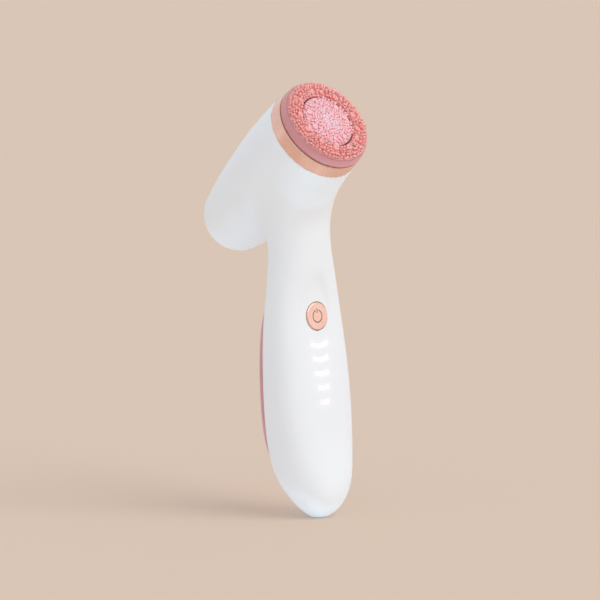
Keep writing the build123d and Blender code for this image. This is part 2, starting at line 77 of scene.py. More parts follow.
BUTTON_RADIUS = 6.1
BUTTON_TOP = 0.5
BUTTON_GAP = 0.25
WINDOW_HEIGHTS = (-12.9, -19.0, -25.1, -31.2, -37.4)
WINDOW_WIDTHS = (11.5, 10.7, 9.8, 7.8, 6.4)
WINDOW_BAND = 2.6
WINDOW_ARC = 10.3
WINDOW_CORNER = 0.6
WINDOW_GAP = 0.05

PANEL_CENTRE = 58.5
COVER_HALF = (13.0, 34.0)
PAD_HALF = (18.5, 41.0)
PAD_THICK = 1.9

PIN_RADIUS = 0.95              # holes for the charging pins in the tip
PIN_APART = 1.7                # from the middle

# Handle sections: height, front x, back x, half width, squareness of the front and of the back
SECTIONS = (
    (0.0, 3.2, -3.2, 3.2, 2.0, 2.0),
    (0.7, 4.9, -4.3, 4.4, 2.0, 2.0),
    (2.0, 6.9, -5.8, 6.2, 2.05, 2.0),
    (3.7, 8.6, -7.5, 8.4, 2.1, 2.05),
    (6.4, 10.1, -9.6, 11.1, 2.2, 2.1),
    (10.0, 10.8, -11.8, 13.8, 2.35, 2.15),
    (16.0, 10.3, -14.6, 17.1, 2.55, 2.25),
    (24.0, 8.8, -17.2, 19.0, 2.85, 2.35),
    (38.0, 6.3, -18.6, 20.7, 3.1, 2.4),
    (56.0, 3.8, -19.3, 21.3, 3.2, 2.4),
    (75.0, 1.0, -19.8, 20.6, 3.2, 2.4),
    (88.0, -0.6, -20.0, 19.3, 3.1, 2.4),
    (99.0, -1.0, -20.4, 17.8, 2.8, 2.3),
    (108.0, -0.7, -21.5, 16.3, 2.5, 2.2),
    (117.0, -0.7, -23.0, 15.2, 2.2, 2.1),
    (122.0, -0.8, -24.4, 15.4, 2.1, 2.0),
    (128.0, -0.8, -26.0, 16.1, 2.0, 2.0),
    (134.0, 0.6, -28.0, 16.9, 2.0, 2.0),
    (140.0, 3.2, -30.0, 17.7, 2.0, 2.0),
    (146.0, 7.0, -31.0, 18.6, 2.0, 2.0),
    (150.0, 9.0, -31.0, 19.0, 2.0, 2.0),
)


# ---------------------------------------------------------------- smooth curves through a few values
def natural_spline(knots, values):
    """Function for the natural cubic spline through (knots, values)."""
    knots = np.asarray(knots, float)
    values = np.asarray(values, float)
    count = len(knots)
    gap = np.diff(knots)
    slope = np.diff(values) / gap
    matrix = np.eye(count)
    right = np.zeros(count)
    for i in range(1, count - 1):
        matrix[i, i - 1:i + 2] = gap[i - 1], 2 * (gap[i - 1] + gap[i]), gap[i]
        right[i] = 6 * (slope[i] - slope[i - 1])
    bend = np.linalg.solve(matrix, right)
    last_slope = slope[-1] + gap[-1] * bend[-2] / 6

    def evaluate(where):
        beyond = np.maximum(where - knots[-1], 0)
        where = np.clip(where, knots[0], knots[-1])
        i = np.clip(np.searchsorted(knots, where) - 1, 0, count - 2)
        width = gap[i]
        a = (knots[i + 1] - where) / width
        b = 1 - a
        curve = ((a ** 3 - a) * bend[i] + (b ** 3 - b) * bend[i + 1]) * width ** 2 / 6
        return a * values[i] + b * values[i + 1] + curve + beyond * last_slope

    return evaluate


def smoothstep(low, high, value):
    share = np.clip((value - low) / (high - low), 0, 1)
    return share * share * (3 - 2 * share)


SECTION_CURVES = [
    natural_spline([math.sqrt(section[0]) for section in SECTIONS], [section[column] for section in SECTIONS])
    for column in range(1, 6)
]
BARREL_END = BULB_CENTRE + BULB_RADIUS * math.sin(BULB_SLOPE)
barrel_radius = natural_spline(
    [point[0] for point in BARREL_SIDE] + [BARREL_END],
    [point[1] for point in BARREL_SIDE] + [BULB_RADIUS * math.cos(BULB_SLOPE)],
)


# ---------------------------------------------------------------- the housing as a distance field
def handle_side(points):
    """Distance outside the handle's wall, roughly, along the spoke from the section's middle."""
    x, y, z = points.T
    front, back, half_width, square_front, square_back = [
        curve(np.sqrt(np.maximum(z, 0))) for curve in SECTION_CURVES
    ]
    half_depth = (front - back) / 2
    across = (x - (front + back) / 2) / half_depth
    along = y / half_width
    spoke = np.hypot(across, along) + 1e-9
    power = square_back + (square_front - square_back) * (1 + across / spoke) / 2
    level = (np.abs(across) ** power + np.abs(along) ** power) ** (1 / power) + 1e-9
    return np.hypot(x - (front + back) / 2, y) * (1 - 1 / level)


def barrel_side(points):
    """Distance outside the head barrel and its bulb."""
    from_mouth = points - MOUTH
    behind = -from_mouth @ AXIS
    radius = np.hypot(from_mouth @ SIDE, from_mouth @ HEAD_UP)
    side = radius - np.where(behind < 0, MOUTH_RADIUS, barrel_radius(behind))
    bulb = np.hypot(radius, behind - BULB_CENTRE) - BULB_RADIUS
    return np.where(behind > BARREL_END, bulb, side)


def gradient(field, points, step=0.05):
    parts = []
    for axis in range(3):
        shift = np.zeros(3)
        shift[axis] = step
        parts.append((field(points + shift) - field(points - shift)) / (2 * step))
    return np.stack(parts, 1)


def true_distance(field, points):
    """The field over its own steepness, with its unit gradient."""
    slope = gradient(field, points)
    steep = np.linalg.norm(slope, axis=1) + 1e-6
    return field(points) / steep, slope / steep[:, None]


def smooth_join(a, b, radius):
    """Union of two distances with a fillet of about that radius."""
    share = np.maximum(radius - np.abs(a - b), 0) / radius
    return np.minimum(a, b) - share * share * radius / 4


def scoop_depth(points):
    """Shallow arched thumb recess on the front, deepest under its top and fading out below the button."""
    deepest = 0.8
    soft_edge = 2.4
    low = 80.0
    high = 109.5
    half_width = 9.3
    full_depth = 102.0
    front_only = -10.0
    x, y, z = points.T
    rise = np.clip((z - low) / (high - low), 0, 2)
    edge = (1 - np.hypot(y / half_width, rise)) * half_width
    fade = smoothstep(low, full_depth, z)
    return deepest * smoothstep(0, soft_edge, edge) * fade * (x > front_only)


def housing(points):
    """Signed distance of the housing's outside, negative inside, with its mouth left open ahead."""
    tight = 9.0                # fillet behind the neck
    wide = 17.0                # fillet in front of it
    fillet_change = (-26, -8)  # x between which one fillet turns into the other
    handle_end = (-5, 6)       # above the head's axis, where the handle stops inside the barrel
    cut_off = 30.0
    tip_round = 0.8
    deepest = -6.0             # further in than this, the spokes meet and the distance isn't smooth
    grip, grip_normal = true_distance(handle_side, points)
    grip = np.where(handle_side(points) < deepest, deepest, np.maximum(grip, deepest))
    head, head_normal = true_distance(barrel_side, points)
    grip = -smooth_join(-grip, points[:, 2], tip_round)
    apart = np.sqrt(np.clip((1 - np.sum(grip_normal * head_normal, axis=1)) / 2, 0, 1))
    reach = tight + (wide - tight) * smoothstep(*fillet_change, points[:, 0])
    grip = grip + cut_off * smoothstep(*handle_end, (points - MOUTH) @ HEAD_UP)
    return smooth_join(grip, head, np.maximum(reach * apart, 0.05)) + scoop_depth(points)


# ---------------------------------------------------------------- meshing a field
def cell_points(value, inside):
    """One point for each grid cell that the surface crosses, in steps, and each cell's point number."""
    cells = tuple(size - 1 for size in value.shape)

    def corner(array, offset):
        return array[tuple(slice(o, o + n) for o, n in zip(offset, cells))]

    offsets = [(i, j, k) for i in (0, 1) for j in (0, 1) for k in (0, 1)]
    filled = sum(corner(inside, offset).astype(int) for offset in offsets)
    mixed = (filled > 0) & (filled < 8)
    total = np.zeros(cells + (3,))
    hits = np.zeros(cells)
    for start in offsets:
        for axis in range(3):
            if start[axis]:
                continue
            end = tuple(1 if i == axis else start[i] for i in range(3))
            a = corner(value, start)
            b = corner(value, end)
            crossed = (a < 0) != (b < 0)
            share = np.where(crossed, a / np.where(a == b, 1, a - b), 0)
            place = np.zeros(cells + (3,)) + start
            place[..., axis] = share
            total += place * crossed[..., None]
            hits += crossed
    where = np.argwhere(mixed)
    number = -np.ones(cells, int)
    number[mixed] = np.arange(len(where))
    return total[mixed] / hits[mixed][:, None] + where, number


def cell_faces(inside, number):
    """A quad round each grid edge that goes through the surface, joining the points of its four cells."""
    faces = []
    for axis in range(3):
        u, v = (axis + 1) % 3, (axis + 2) % 3
        here = [slice(1, -1)] * 3
        here[axis] = slice(0, -1)
        ahead = list(here)
        ahead[axis] = slice(1, None)
        a = inside[tuple(here)]
        b = inside[tuple(ahead)]
        for flip in (False, True):
            spots = np.argwhere(a & ~b if not flip else ~a & b)
            spots[:, u] += 1
            spots[:, v] += 1
            ring = []
            for du, dv in ((-1, -1), (0, -1), (0, 0), (-1, 0)):
                cell = spots.copy()
                cell[:, u] += du
                cell[:, v] += dv
                ring.append(number[tuple(cell.T)])
            faces.append(np.stack(ring if not flip else ring[::-1], 1))
    return np.concatenate(faces)


def surface_net(field, low, high, step):
    """Quads on the zero level of a field, between two corners of a grid."""
    axes = [np.arange(low[i], high[i] + step, step) for i in range(3)]
    grid = np.stack(np.meshgrid(*axes, indexing="ij"), -1)
    value = field(grid.reshape(-1, 3)).reshape(grid.shape[:3])
    inside = value < 0
    points, number = cell_points(value, inside)
    return points * step + np.array(low), cell_faces(inside, number)


def settle(field, vertices, rounds=4):
    """Vertices moved onto the zero level of the field."""
    for _ in range(rounds):
        slope = gradient(field, vertices)
        vertices = vertices - field(vertices)[:, None] * slope / (np.sum(slope ** 2, 1)[:, None] + 1e-9)
    return vertices


# ---------------------------------------------------------------- making pieces
def mesh_object(name, points, faces):
    """Object with a mesh from points in mm."""
    mesh = bpy.data.meshes.new(name)
    mesh.from_pydata((np.asarray(points) * MM).tolist(), [], [list(map(int, face)) for face in faces])
    mesh.update()
    made = bpy.data.objects.new(name, mesh)
    bpy.context.scene.collection.objects.link(made)
    return made


def add_mesh(name, points, faces, body, slot, node=None):
    """Piece from points in mm, riding on a body. It may stand for a CAD node."""
    piece = mesh_object(name, points, faces)
    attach(piece, body)
    if node:
        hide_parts(node)
    return piece


def shade_smooth(piece, sharp_above):
    piece.data.shade_smooth()
    piece.data.set_sharp_from_angle(angle=math.radians(sharp_above))


def cut_away(piece, points, faces):
    """Takes closed solids, given in mm, out of a piece."""
    cutter = mesh_object("cutter", points, faces)
    modifier = piece.modifiers.new("cut", "BOOLEAN")
    modifier.operation = "DIFFERENCE"
    modifier.solver = "EXACT"
    modifier.object = cutter
    bpy.context.view_layer.update()
    cut = bpy.data.meshes.new_from_object(piece.evaluated_get(bpy.context.evaluated_depsgraph_get()))
    piece.modifiers.clear()
    old = piece.data
    piece.data = cut
    cut.name = old.name + "_cut"
    bpy.data.meshes.remove(old)
    cutter_mesh = cutter.data
    bpy.data.objects.remove(cutter)
    bpy.data.meshes.remove(cutter_mesh)


def outward(points, faces):
    """Faces of a closed surface, all turned round if they look inwards."""
    points = np.asarray(points)
    volume = 0.0
    for face in faces:
        corner = points[face[0]]
        for i in range(1, len(face) - 1):
            volume += corner @ np.cross(points[face[i]], points[face[i + 1]])
    return faces if volume > 0 else [tuple(reversed(face)) for face in faces]


def prism(outline, origin, right, up, out, low, high):
    """Closed column over a flat outline: points and faces."""
    flat = np.array([origin + x * right + y * up for x, y in outline])
    count = len(outline)
    points = np.concatenate([flat + low * out, flat + high * out])
    sides = [(i, (i + 1) % count, count + (i + 1) % count, count + i) for i in range(count)]
    ends = [tuple(reversed(range(count))), tuple(range(count, 2 * count))]
    return points, outward(points, sides + ends)


def circle(radius, count=96):
    angles = np.arange(count) * 2 * math.pi / count
    return [(radius * math.cos(a), radius * math.sin(a)) for a in angles]


def join_solids(solids):
    points = []
    faces = []
    for solid_points, solid_faces in solids:
        faces += [tuple(i + len(points) for i in face) for face in solid_faces]
        points += list(solid_points)
    return points, faces


def oval(half_width, half_height, count=96):
    squareness = 2.4
    outline = []
    for i in range(count):
        a = 2 * math.pi * i / count
        c, s = math.cos(a), math.sin(a)
        outline.append((
            half_width * math.copysign(abs(c) ** (2 / squareness), c),
            half_height * math.copysign(abs(s) ** (2 / squareness), s),
        ))
    return outline


def smile(height, width, grow, count=14):
    """Outline of one charge window with softened corners, drawn in the button plane."""
    inner = WINDOW_ARC - WINDOW_BAND / 2 - grow
    outer = WINDOW_ARC + WINDOW_BAND / 2 + grow
    reach = math.asin(width / 2 / (WINDOW_ARC + WINDOW_BAND / 2)) + grow / WINDOW_ARC
    corner = WINDOW_CORNER + grow
    outline = []
    for radius, way in ((outer, 1), (inner, -1)):
        turn = (reach - corner / radius) * way
        inwards = (inner + corner) if way < 0 else (outer - corner)
        arc = [-turn + 2 * turn * i / count for i in range(count + 1)]
        side = [(inwards, -reach * way), (radius, arc[0])]
        outline += corner_arc(side, (radius, -reach * way), height)
        outline += [bowl(radius, a, height) for a in arc[1:-1]]
        side = [(radius, arc[-1]), (inwards, reach * way)]
        outline += corner_arc(side, (radius, reach * way), height)
    return outline


def bowl(radius, turn, height):
    """Point at a turn from straight down round a window's centre of curvature."""
    return radius * math.sin(turn), height + WINDOW_ARC - radius * math.cos(turn)


def corner_arc(ends, tip, height, steps=4):
    """Quarter-circle between two ends round a window's corner."""
    start, end, peak = [np.array(bowl(radius, turn, height)) for radius, turn in (*ends, tip)]
    centre = start + end - peak
    arc = []
    for step in range(steps + 1):
        a = step / steps * math.pi / 2
        arc.append(tuple(centre + (end - centre) * math.sin(a) + (start - centre) * math.cos(a)))
    return arc


# ---------------------------------------------------------------- main shell
def inner_wall(points):
    solid_tip = 10.0
    return np.maximum(housing(points) + WALL, solid_tip - points[:, 2])


def net_solid(field, step, end, rim_round=0.0):
    """Closed solid inside a field, cut flat across the head at a distance ahead of the mouth."""
    low = (-67.3, -23.7, -1.1)     # corners of a box round the whole housing
    high = (24.3, 23.9, 188.3)
    points, faces = surface_net(field, low, high, step)
    points = settle(field, points)
    solid = bmesh.new()
    corners = [solid.verts.new(point) for point in points.tolist()]
    for face in faces.tolist():
        solid.faces.new([corners[i] for i in face])
    bmesh.ops.bisect_plane(
        solid, geom=solid.verts[:] + solid.edges[:] + solid.faces[:],
        plane_co=MOUTH + end * AXIS, plane_no=AXIS, clear_outer=True,
    )
    bmesh.ops.contextual_create(solid, geom=[edge for edge in solid.edges if edge.is_boundary])
    if rim_round:
        lid = max(solid.faces, key=lambda face: len(face.verts))
        bmesh.ops.bevel(solid, geom=lid.edges[:], offset=rim_round, segments=3, profile=0.5, affect="EDGES")
    bmesh.ops.recalc_face_normals(solid, faces=solid.faces[:])
    solid.verts.index_update()
    points = [vertex.co[:] for vertex in solid.verts]
    faces = [[vertex.index for vertex in face.verts] for face in solid.faces]
    solid.free()
    return points, faces


def openings():
    """Columns that open the shell for the button, the windows, the back cover and the charging pins."""
    button_depths = (-8, 6)
    window_depths = (-6, 6)
    cover_depths = (11, 38)
    pin_heights = (-3, 14)
    forward = np.array([1.0, 0, 0])
    up = np.array([0, 0, 1.0])
    face = (FACE_ORIGIN, SIDE, FACE_UP, FACE_OUT)
    solids = [prism(circle(BUTTON_RADIUS + BUTTON_GAP), *face, *button_depths)]
    for height, width in zip(WINDOW_HEIGHTS, WINDOW_WIDTHS):
        solids.append(prism(smile(height, width, WINDOW_GAP), *face, *window_depths))
    solids.append(prism(oval(*COVER_HALF), up * PANEL_CENTRE, -SIDE, up, -forward, *cover_depths))
    for side in (-1, 1):
        solids.append(prism(circle(PIN_RADIUS, 32), side * PIN_APART * SIDE, forward, SIDE, up, *pin_heights))
    return join_solids(solids)


def main_shell():
    fine = 1.0
    coarse = 1.7
    past_mouth = 2.0
    points, faces = net_solid(housing, fine, end=0.0, rim_round=0.35)
    piece = add_mesh("shell_skin", points, faces, "housing", "shell_white", node="main_shell")
    cut_away(piece, *net_solid(inner_wall, coarse, end=past_mouth))
    cut_away(piece, *openings())
    shade_smooth(piece, 35)
    return piece


def window_distance(points):
    """Distance in mm from the nearest charge window, in the button plane, and far off elsewhere."""
    far_off = 99.0
    deepest = -5.0
    local = points - FACE_ORIGIN
    x = local @ SIDE
    y = local @ FACE_UP
    best = np.full(len(points), far_off)
    for height, width in zip(WINDOW_HEIGHTS, WINDOW_WIDTHS):
        reach = math.asin(width / 2 / (WINDOW_ARC + WINDOW_BAND / 2))
        turn = np.arctan2(x, height + WINDOW_ARC - y)
        turn = np.clip(turn, -reach, reach)
        spread = np.hypot(x, height + WINDOW_ARC - y)
        spread = np.clip(spread, WINDOW_ARC - WINDOW_BAND / 2, WINDOW_ARC + WINDOW_BAND / 2)
        near_x = spread * np.sin(turn)
        near_y = height + WINDOW_ARC - spread * np.cos(turn)
        best = np.minimum(best, np.hypot(x - near_x, y - near_y))
    return np.where(local @ FACE_OUT > deepest, best, far_off)


def mesh_points(mesh):
    points = np.zeros(len(mesh.vertices) * 3)
    mesh.vertices.foreach_get("co", points)
    return points.reshape(-1, 3) / MM


def add_glow(piece):
    """Stores how much light from the windows spreads in the shell at each vertex."""
    spread = 1.1
    points = mesh_points(piece.data)
    glow = np.exp(-window_distance(points) / spread)
    attribute = piece.data.attributes.new("glow", "FLOAT", "POINT")
    attribute.data.foreach_set("value", glow.astype(np.float32))


# ---------------------------------------------------------------- turned pieces on the head's axis
def around_head(radius, angle, ahead):
    out = np.multiply.outer(np.cos(angle) * radius, SIDE) + np.multiply.outer(np.sin(angle) * radius, HEAD_UP)
    return MOUTH + out + np.multiply.outer(ahead, AXIS)


def soften(corners, steps=4):
    """Profile with its corners rounded. Each corner is (radius, ahead, rounding)."""
    count = len(corners)
    profile = []
    for i, (r, u, rounding) in enumerate(corners):
        here = np.array([r, u])
        if rounding == 0:
            profile.append(here)
            continue
        before = np.array(corners[i - 1][:2]) - here
        after = np.array(corners[(i + 1) % count][:2]) - here
        start = here + before / np.linalg.norm(before) * rounding
        end = here + after / np.linalg.norm(after) * rounding
        for step in range(steps + 1):
            t = step / steps
            profile.append(start * (1 - t) ** 2 + here * 2 * t * (1 - t) + end * t * t)
    return np.array(profile)


def spin(profile, segments):
    """Turned surface over a profile. A profile from radius 0 has two poles. Any other closes on itself."""
    angles = np.arange(segments) * 2 * math.pi / segments
    open_ended = profile[0][0] < 1e-6
    rows = profile[1:-1] if open_ended else profile
    points = []
    for r, u in rows:
        points.append(around_head(np.full(segments, r), angles, np.full(segments, u)))
    points = np.concatenate(points)
    faces = []
    links = [(i, i + 1) for i in range(len(rows) - 1)]
    if not open_ended:
        links.append((len(rows) - 1, 0))
    for a, b in links:
        for j in range(segments):
            k = (j + 1) % segments
            faces.append((a * segments + j, a * segments + k, b * segments + k, b * segments + j))
    if open_ended:
        start = len(points)
        poles = around_head(np.zeros(2), np.zeros(2), np.array([profile[0][1], profile[-1][1]]))
        points = np.concatenate([points, poles])
        last = (len(rows) - 1) * segments
        for j in range(segments):
            k = (j + 1) % segments
            faces.append((start, k, j))
            faces.append((start + 1, last + j, last + k))
    return points, outward(points, faces)


# ---------------------------------------------------------------- silicone nubs
# Shapes of one nub from its root to its tip: (share of its radius, share of its height)
BRISTLE = (
    (1.25, -0.25), (1.12, 0.0), (0.98, 0.2), (0.92, 0.5), (0.86, 0.75), (0.72, 0.91), (0.4, 0.985), (0, 1.0),
)
CRATER = (
    (1.1, -0.25), (1.04, 0.0), (1.0, 0.4), (0.96, 0.75), (0.84, 0.96), (0.66, 0.98), (0.5, 0.8), (0, 0.6),
)


def grow_nubs(shape, roots, ups, leans, radii, heights, sides):
    """Closed nubs on a surface. leans is how far each tip moves sideways, which bends the nub."""
    first = np.cross(ups, SIDE + 0.01)
    first /= np.linalg.norm(first, axis=1)[:, None]
    second = np.cross(ups, first)
    turn = np.arange(sides) * 2 * math.pi / sides
    points = []
    faces = []
    for root, up, lean, radius, height, a, b in zip(roots, ups, leans, radii, heights, first, second):
        base = len(points)
        for wide, high in shape[:-1]:
            bend = max(high, 0) ** 1.5
            centre = root + up * height * high + lean * bend
            ring = centre + radius * wide * (np.outer(np.cos(turn), a) + np.outer(np.sin(turn), b))
            points += list(ring)
        points += [root + up * height * shape[-1][1] + lean * max(shape[-1][1], 0) ** 1.5]
        points += [root + up * height * shape[0][1]]
        rows = len(shape) - 1
        for i in range(rows - 1):
            for j in range(sides):
                k = (j + 1) % sides
                here = base + i * sides
                faces.append((here + j, here + k, here + sides + k, here + sides + j))
        tip = base + rows * sides
        for j in range(sides):
            k = (j + 1) % sides
            last = base + (rows - 1) * sides
            faces.append((last + j, last + k, tip))
            faces.append((base + k, base + j, tip + 1))
    return points, outward(points, faces)


# Head angles, in degrees, between which the nubs lean away from the slit round the disc
CLEAR_ARCS = ((84, 133), (263, 322))


def in_clear_arc(angle):
    degrees = math.degrees(angle) % 360
    return any(low < degrees < high for low, high in CLEAR_ARCS)


def nub_row(dice, radius, pitch, skin, height, thick, lean_out, slit_lean=None):
    """One circle of nubs: a list of (root, up, lean, radius, height). slit_lean is for the clear arcs."""
    count = round(2 * math.pi * radius / pitch)
    offset = dice.uniform(0, 1)
    row = []
    for i in range(count):
        angle = 2 * math.pi * (i + offset + dice.uniform(-0.24, 0.24)) / count
        r = radius + dice.uniform(-0.22, 0.22)
        tall = height * dice.uniform(0.8, 1.1)
        clear = slit_lean is not None and in_clear_arc(angle)
        out = (slit_lean if clear else lean_out) + dice.uniform(-0.25, 0.25)
        swirl = dice.uniform(-0.55, 0.55)
        size = thick * dice.uniform(0.82, 1.18)
        away = math.cos(angle) * SIDE + math.sin(angle) * HEAD_UP
        along = -math.sin(angle) * SIDE + math.cos(angle) * HEAD_UP
        root = MOUTH + away * r + AXIS * skin(r)
        row.append((root, AXIS, away * out + along * swirl, size, tall))
    return row


def clear_of(nub, craters):
    root, radius = nub[0], nub[3]
    return all(np.linalg.norm(root - rim[0]) > radius + rim[3] for rim in craters)


def nubbed(name, node, body, slot, profile, rows, craters):
    """Turned silicone part with its nubs. A nub that would stand in a crater is left out."""
    solids = [spin(profile, segments=180)]
    bristles = [nub for nub in rows if clear_of(nub, craters)]
    for shape, nubs, sides in ((BRISTLE, bristles, 8), (CRATER, craters, 14)):
        columns = [np.array(column) for column in zip(*nubs)]
        solids.append(grow_nubs(shape, *columns, sides))
    points, faces = join_solids(solids)
    piece = add_mesh(name, points, faces, body, slot, node=node)
    shade_smooth(piece, 60)
    return piece


def ring_skin(r):
    """Height of the outer ring's silicone between its nubs."""
    radii = (13.1, 13.7, 17.2, 18.4, 19.4, 20.3, 21.0, 21.3)
    heights = (10.5, 11.0, 11.1, 10.95, 10.6, 10.0, 9.2, 8.4)
    return float(np.interp(r, radii, heights))


def outer_silicone():
    dice = random.Random(11)
    inner = DISC_RADIUS + DISC_GAP
    profile = soften((
        (inner, 6.65, 0), (20.6, 6.65, 0), (20.6, 6.85, 0), (BRUSH_RADIUS, 6.95, 0.12),
        (BRUSH_RADIUS, 9.4, 1.5), (19.6, 10.8, 1.2), (17.2, 11.1, 0.8), (inner, 11.05, 0.35),
    ), steps=6)
    rows = []
    for radius, pitch, height, thick, lean_out in (
        (18.95, 1.6, 1.3, 0.55, 0.75), (17.75, 1.55, 1.45, 0.62, 0.5), (16.5, 1.55, 1.45, 0.62, 0.3),
        (15.25, 1.55, 1.45, 0.62, 0.15),
    ):
        rows += nub_row(dice, radius, pitch, ring_skin, height, thick, lean_out)
    rows += nub_row(dice, inner + 0.9, 1.5, ring_skin, 1.4, 0.58, -0.4, slit_lean=0.4)
    craters = nub_row(dice, 14.9, 8.0, ring_skin, 1.35, 1.3, 0.0)
    return nubbed("outer_silicone", "outer_brush", "brush_head", "silicone_coral", profile, rows, craters)


def disc_skin(r):
    return float(np.interp(r, (0, 2, 11.3, 12.1, 12.4), (11.25, 11.05, 11.0, 10.85, 10.4)))


def disc_silicone():
    dice = random.Random(23)
    profile = soften((
        (0, 6.85, 0), (DISC_RADIUS, 6.85, 0), (DISC_RADIUS, 11.05, 0.6), (3.0, 11.0, 0.6), (0, 11.3, 0),
    ), steps=5)
    rows = nub_row(dice, DISC_RADIUS - 0.9, 1.5, disc_skin, 1.15, 0.62, 0.4, slit_lean=-0.3)
    for radius in (10.25, 9.0, 7.75, 6.5, 5.25, 4.0, 2.75, 1.5):
        rows += nub_row(dice, radius, 1.42, disc_skin, 0.95, 0.72, 0.1)
    craters = nub_row(dice, 9.9, 9.5, disc_skin, 1.15, 1.2, 0.0)
    return nubbed("disc_silicone", "centre_brush", "brush_disc", "silicone_pink", profile, rows, craters)


# ---------------------------------------------------------------- mark on the button
def button_mark():
    """Dark inlay in the cap's grooves: an open ring with a bar through the gap."""
    ring_inner = 2.48
    ring_outer = 2.82
    half_gap = 0.95
    bar = ((-0.17, 1.34), (0.17, 1.34), (0.17, 3.36), (-0.17, 3.36))
    low = BUTTON_TOP - 0.14
    high = BUTTON_TOP - 0.03
    steps = 48
    ring = []
    for radius, way in ((ring_outer, 1), (ring_inner, -1)):
        start = math.asin(half_gap / radius)
        sweep = 2 * math.pi - 2 * start
        turns = [start + sweep * i / steps for i in range(steps + 1)]
        ring += [(radius * math.sin(a), radius * math.cos(a)) for a in turns[::way]]
    solids = [prism(outline, FACE_ORIGIN, SIDE, FACE_UP, FACE_OUT, low, high) for outline in (ring, bar)]
    return add_mesh("button_mark", *join_solids(solids), "power_button", "seal_grey")


# ---------------------------------------------------------------- soft pad on the handle's back
def back_surface(y, z):
    """x of the handle's rear surface at each (y, z)."""
    low = np.full(len(y), -34.0)
    high = np.full(len(y), -8.0)
    for _ in range(36):
        middle = (low + high) / 2
        outside = handle_side(np.stack([middle, y, z], 1)) > 0
        low = np.where(outside, middle, low)
        high = np.where(outside, high, middle)
    return (low + high) / 2


def pad():
    """Pillowed skin over the back cover, closed underneath just off the shell."""
    spokes = 160
    rings = 36
    lift = 0.05
    outline = np.array(oval(*PAD_HALF, count=spokes))
    share = 1 - (1 - np.arange(rings + 1) / rings) ** 1.8
    layers = []
    for top in (True, False):
        for s in share[1:] if top else share[1:-1][::-1]:
            y = outline[:, 0] * s
            z = outline[:, 1] * s + PANEL_CENTRE
            surface = np.stack([back_surface(y, z), y, z], 1)
            normal = true_distance(handle_side, surface)[1]
            crown = math.sqrt(max(1 - s ** 26, 0))
            thick = lift + (PAD_THICK - lift) * (0.2 + 0.8 * crown) if top else lift
            layers.append(surface + normal * thick)
    points = np.concatenate(layers)
    faces = []
    for i in range(len(layers) - 1):
        for j in range(spokes):
            k = (j + 1) % spokes
            faces.append((i * spokes + j, i * spokes + k, (i + 1) * spokes + k, (i + 1) * spokes + j))
    middle = np.array([[back_surface(np.zeros(1), np.full(1, PANEL_CENTRE))[0], 0, PANEL_CENTRE]])
    normal = true_distance(handle_side, middle)[1]
    start = len(points)
    points = np.concatenate([points, middle + normal * PAD_THICK, middle + normal * lift])
    last = (len(layers) - 1) * spokes
    for j in range(spokes):
        k = (j + 1) % spokes
        faces.append((start, k, j))
        faces.append((start + 1, last + j, last + k))
    piece = add_mesh("back_pad", points, outward(points, faces), "housing", "pad_pink", node="grip_pad")
    shade_smooth(piece, 50)
    return piece


# ---------------------------------------------------------------- materials
class Finish:
    """Node material with a few shorthands. Its textures use the piece's own coordinates."""

    def __init__(self, name):
        self.material = bpy.data.materials.new(name)
        self.material.use_nodes = True
        self.tree = self.material.node_tree
        self.surface = self.tree.nodes["Principled BSDF"]
        self.place = self.node("ShaderNodeTexCoord").outputs["Object"]

    def node(self, kind, inputs=(), **settings):
        made = self.tree.nodes.new(kind)
        for key, value in settings.items():
            setattr(made, key, value)
        for key, value in dict(inputs).items():
            self.feed(made.inputs[key], value)
        return made

    def feed(self, socket, value):
        if isinstance(value, bpy.types.NodeSocket):
            self.tree.links.new(value, socket)
        else:
            socket.default_value = value

    def set(self, **inputs):
        names = {
            "colour": "Base Color", "rough": "Roughness", "metal": "Metallic", "normal": "Normal",
            "coat": "Coat Weight", "coat_rough": "Coat Roughness", "sheen": "Sheen Weight",
            "sheen_rough": "Sheen Roughness", "inside": "Subsurface Weight",
            "inside_reach": "Subsurface Radius", "inside_scale": "Subsurface Scale",
            "specular": "Specular IOR Level", "glow": "Emission Strength", "glow_colour": "Emission Color",
        }
        for key, value in inputs.items():
            self.feed(self.surface.inputs[names[key]], value)

    def noise(self, size, detail=2.0, stretch=None):
        """Noise from 0 to 1 whose features are about that many mm across."""
        place = self.place
        if stretch:
            place = self.node("ShaderNodeMapping", {"Vector": place, "Scale": stretch}).outputs["Vector"]
        inputs = {"Vector": place, "Scale": 1 / (size * MM), "Detail": detail}
        return self.node("ShaderNodeTexNoise", inputs).outputs["Fac"]

    def span(self, value, low, high, from_low=0.3, from_high=0.7):
        inputs = {"Value": value, "From Min": from_low, "From Max": from_high, "To Min": low, "To Max": high}
        return self.node("ShaderNodeMapRange", inputs).outputs["Result"]

    def mix(self, share, a, b):
        made = self.node("ShaderNodeMix", data_type="RGBA")
        for index, value in ((0, share), (6, a), (7, b)):
            self.feed(made.inputs[index], value)
        return made.outputs[2]

    def math(self, operation, a, b=0.0):
        made = self.node("ShaderNodeMath", operation=operation)
        self.feed(made.inputs[0], a)
        self.feed(made.inputs[1], b)
        return made.outputs[0]

    def bump(self, height, depth, below=None):
        inputs = {"Height": height, "Distance": depth * MM, "Strength": 1.0}
        if below is not None:
            inputs["Normal"] = below
        return self.node("ShaderNodeBump", inputs).outputs["Normal"]


def shade(colour, factor):
    return tuple(min(channel * factor, 1) for channel in colour) + (1.0,)


